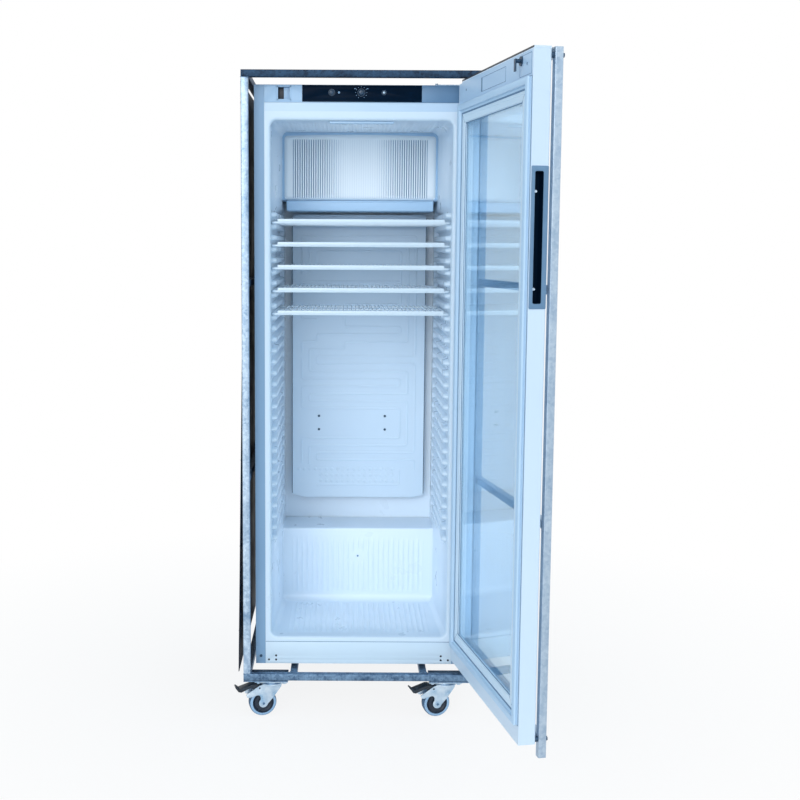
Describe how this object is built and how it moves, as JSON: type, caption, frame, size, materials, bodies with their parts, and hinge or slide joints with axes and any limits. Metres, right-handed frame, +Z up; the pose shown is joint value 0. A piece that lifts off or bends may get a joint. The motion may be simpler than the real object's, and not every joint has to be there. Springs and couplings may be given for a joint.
{
  "type": "glass door refrigerator",
  "caption": "Upright glass-door refrigerator in a wheeled steel cage, its door open with a tube gate in front, and wire shelves on ribs inside.",
  "frame": {"origin": "on the floor under the cage's centre", "axes": "+Z up, +X to the hinge side, -Y to the front"},
  "size_m": [0.8144, 1.1982, 1.8355],
  "materials": {
    "galvanised": "satin",
    "cage_grey": "satin",
    "black_sheet": "satin",
    "shell_paint": "gloss",
    "zinc_back": "satin",
    "liner": "gloss",
    "foam": "matte",
    "fascia_grey": "satin",
    "black_plastic": "satin",
    "lamp_white": "gloss",
    "plate_alu": "satin",
    "dark_metal": "satin",
    "bright_steel": "satin",
    "copper": "satin",
    "caster_zinc": "polished",
    "tread": "matte",
    "pad_rubber": "matte",
    "shelf_white": "gloss",
    "door_white": "gloss",
    "pane": "gloss",
    "seal": "satin",
    "grip_grey": "satin"
  },
  "bodies": {
    "cabinet": {"cage_base_frame": "cage_grey", "cage_corner_plates": "cage_grey", "cage_posts": "galvanised", "cage_top_frame": "cage_grey", "cage_side_bars": "cage_grey", "side_sheets": "black_sheet", "rubber_feet": "pad_rubber", "side_panels": "shell_paint", "top_panel": "shell_paint", "back_panel": "zinc_back", "base_panel": "zinc_back", "inner_liner": "liner", "insulation": "foam", "kick_panel": "shell_paint", "fascia": "fascia_grey", "control_strip": "black_plastic", "ceiling_lamp": "lamp_white", "evaporator_cover": "liner", "drip_tray": "liner", "fan_motor": "dark_metal", "evaporator_plate": "plate_alu", "screws": "bright_steel", "door_hinges": "bright_steel", "compressor": "dark_metal", "condenser": "dark_metal", "refrigerant_pipes": "copper", "drain_parts": "black_plastic", "power_inlet": "black_plastic", "caster_plates": "caster_zinc"},
    "door": {"door_frame": "door_white", "door_free_stile": "door_white", "door_top_cap": "black_plastic", "door_inner_frame": "door_white", "door_glass": "pane", "glass_spacer": "plate_alu", "door_gasket": "seal", "handle_insert": "grip_grey", "gate_frame": "galvanised", "gate_fixings": "dark_metal"},
    "lock": {"door_lock": "bright_steel"},
    "dial": {"thermostat_dial": "black_plastic"},
    "key": {"key_switch": "bright_steel"},
    "lamp_button": {"lamp_switch": "bright_steel"},
    "fan": {"fan_rotor": "grip_grey"},
    "shelf_1": {"shelf_1": "shelf_white"},
    "shelf_2": {"shelf_2": "shelf_white"},
    "shelf_3": {"shelf_3": "shelf_white"},
    "shelf_4": {"shelf_4": "shelf_white"},
    "shelf_5": {"shelf_5": "shelf_white"},
    "front_left_swivel": {"front_left_fork": "caster_zinc"},
    "front_left_wheel": {"front_left_wheel": "tread"},
    "front_left_brake": {"front_left_brake": "dark_metal"},
    "front_right_swivel": {"front_right_fork": "caster_zinc"},
    "front_right_wheel": {"front_right_wheel": "tread"},
    "front_right_brake": {"front_right_brake": "dark_metal"},
    "rear_left_swivel": {"rear_left_fork": "caster_zinc"},
    "rear_left_wheel": {"rear_left_wheel": "tread"},
    "rear_right_swivel": {"rear_right_fork": "caster_zinc"},
    "rear_right_wheel": {"rear_right_wheel": "tread"}
  },
  "joints": [
    {"name": "door_hinge", "type": "hinge", "parent": "cabinet", "child": "door", "pos_m": [0.287, -0.296, 0.98], "axis": [0, 0, 1], "range_deg": [-100.7, 8]},
    {"name": "lock_turn", "type": "hinge", "parent": "door", "child": "lock", "pos_m": [0.36378, -0.7939, 1.7875], "axis": [-0.9826, -0.1857, 0], "range_deg": [0, 90]},
    {"name": "dial_turn", "type": "hinge", "parent": "cabinet", "child": "dial", "pos_m": [-0.002, -0.267, 1.7815], "axis": [0, 1, 0], "range_deg": [-150, 150]},
    {"name": "key_turn", "type": "hinge", "parent": "cabinet", "child": "key", "pos_m": [-0.084, -0.267, 1.7815], "axis": [0, 1, 0], "range_deg": [0, 90]},
    {"name": "lamp_press", "type": "slide", "parent": "cabinet", "child": "lamp_button", "axis": [0, 1, 0], "range_m": [0, 0.002], "stiffness_N_per_m": 300},
    {"name": "fan_spin", "type": "hinge", "parent": "cabinet", "child": "fan", "pos_m": [0, 0.173, 1.5975], "axis": [0, 1, 0], "continuous": true},
    {"name": "shelf_1_slide", "type": "slide", "parent": "cabinet", "child": "shelf_1", "axis": [0, -1, 0], "range_m": [0, 0.3]},
    {"name": "shelf_2_slide", "type": "slide", "parent": "cabinet", "child": "shelf_2", "axis": [0, -1, 0], "range_m": [0, 0.3]},
    {"name": "shelf_3_slide", "type": "slide", "parent": "cabinet", "child": "shelf_3", "axis": [0, -1, 0], "range_m": [0, 0.3]},
    {"name": "shelf_4_slide", "type": "slide", "parent": "cabinet", "child": "shelf_4", "axis": [0, -1, 0], "range_m": [0, 0.3]},
    {"name": "shelf_5_slide", "type": "slide", "parent": "cabinet", "child": "shelf_5", "axis": [0, -1, 0], "range_m": [0, 0.3]},
    {"name": "front_left_swivel_turn", "type": "hinge", "parent": "cabinet", "child": "front_left_swivel", "pos_m": [-0.252, -0.29, 0.1], "axis": [0, 0, 1], "continuous": true},
    {"name": "front_left_wheel_roll", "type": "hinge", "parent": "front_left_swivel", "child": "front_left_wheel", "pos_m": [-0.27917, -0.29677, 0.04], "axis": [-0.2419, 0.9703, 0], "continuous": true},
    {"name": "front_left_brake_press", "type": "hinge", "parent": "front_left_swivel", "child": "front_left_brake", "pos_m": [-0.28984, -0.29943, 0.0855], "axis": [0.2419, -0.9703, 0], "range_deg": [0, 12]},
    {"name": "front_right_swivel_turn", "type": "hinge", "parent": "cabinet", "child": "front_right_swivel", "pos_m": [0.252, -0.29, 0.1], "axis": [0, 0, 1], "continuous": true},
    {"name": "front_right_wheel_roll", "type": "hinge", "parent": "front_right_swivel", "child": "front_right_wheel", "pos_m": [0.22483, -0.29677, 0.04], "axis": [-0.2419, 0.9703, 0], "continuous": true},
    {"name": "front_right_brake_press", "type": "hinge", "parent": "front_right_swivel", "child": "front_right_brake", "pos_m": [0.21416, -0.29943, 0.0855], "axis": [0.2419, -0.9703, 0], "range_deg": [0, 12]},
    {"name": "rear_left_swivel_turn", "type": "hinge", "parent": "cabinet", "child": "rear_left_swivel", "pos_m": [-0.252, 0.29, 0.1], "axis": [0, 0, 1], "continuous": true},
    {"name": "rear_left_wheel_roll", "type": "hinge", "parent": "rear_left_swivel", "child": "rear_left_wheel", "pos_m": [-0.27917, 0.28323, 0.04], "axis": [-0.2419, 0.9703, 0], "continuous": true},
    {"name": "rear_right_swivel_turn", "type": "hinge", "parent": "cabinet", "child": "rear_right_swivel", "pos_m": [0.252, 0.29, 0.1], "axis": [0, 0, 1], "continuous": true},
    {"name": "rear_right_wheel_roll", "type": "hinge", "parent": "rear_right_swivel", "child": "rear_right_wheel", "pos_m": [0.22483, 0.28323, 0.04], "axis": [-0.2419, 0.9703, 0], "continuous": true}
  ]
}
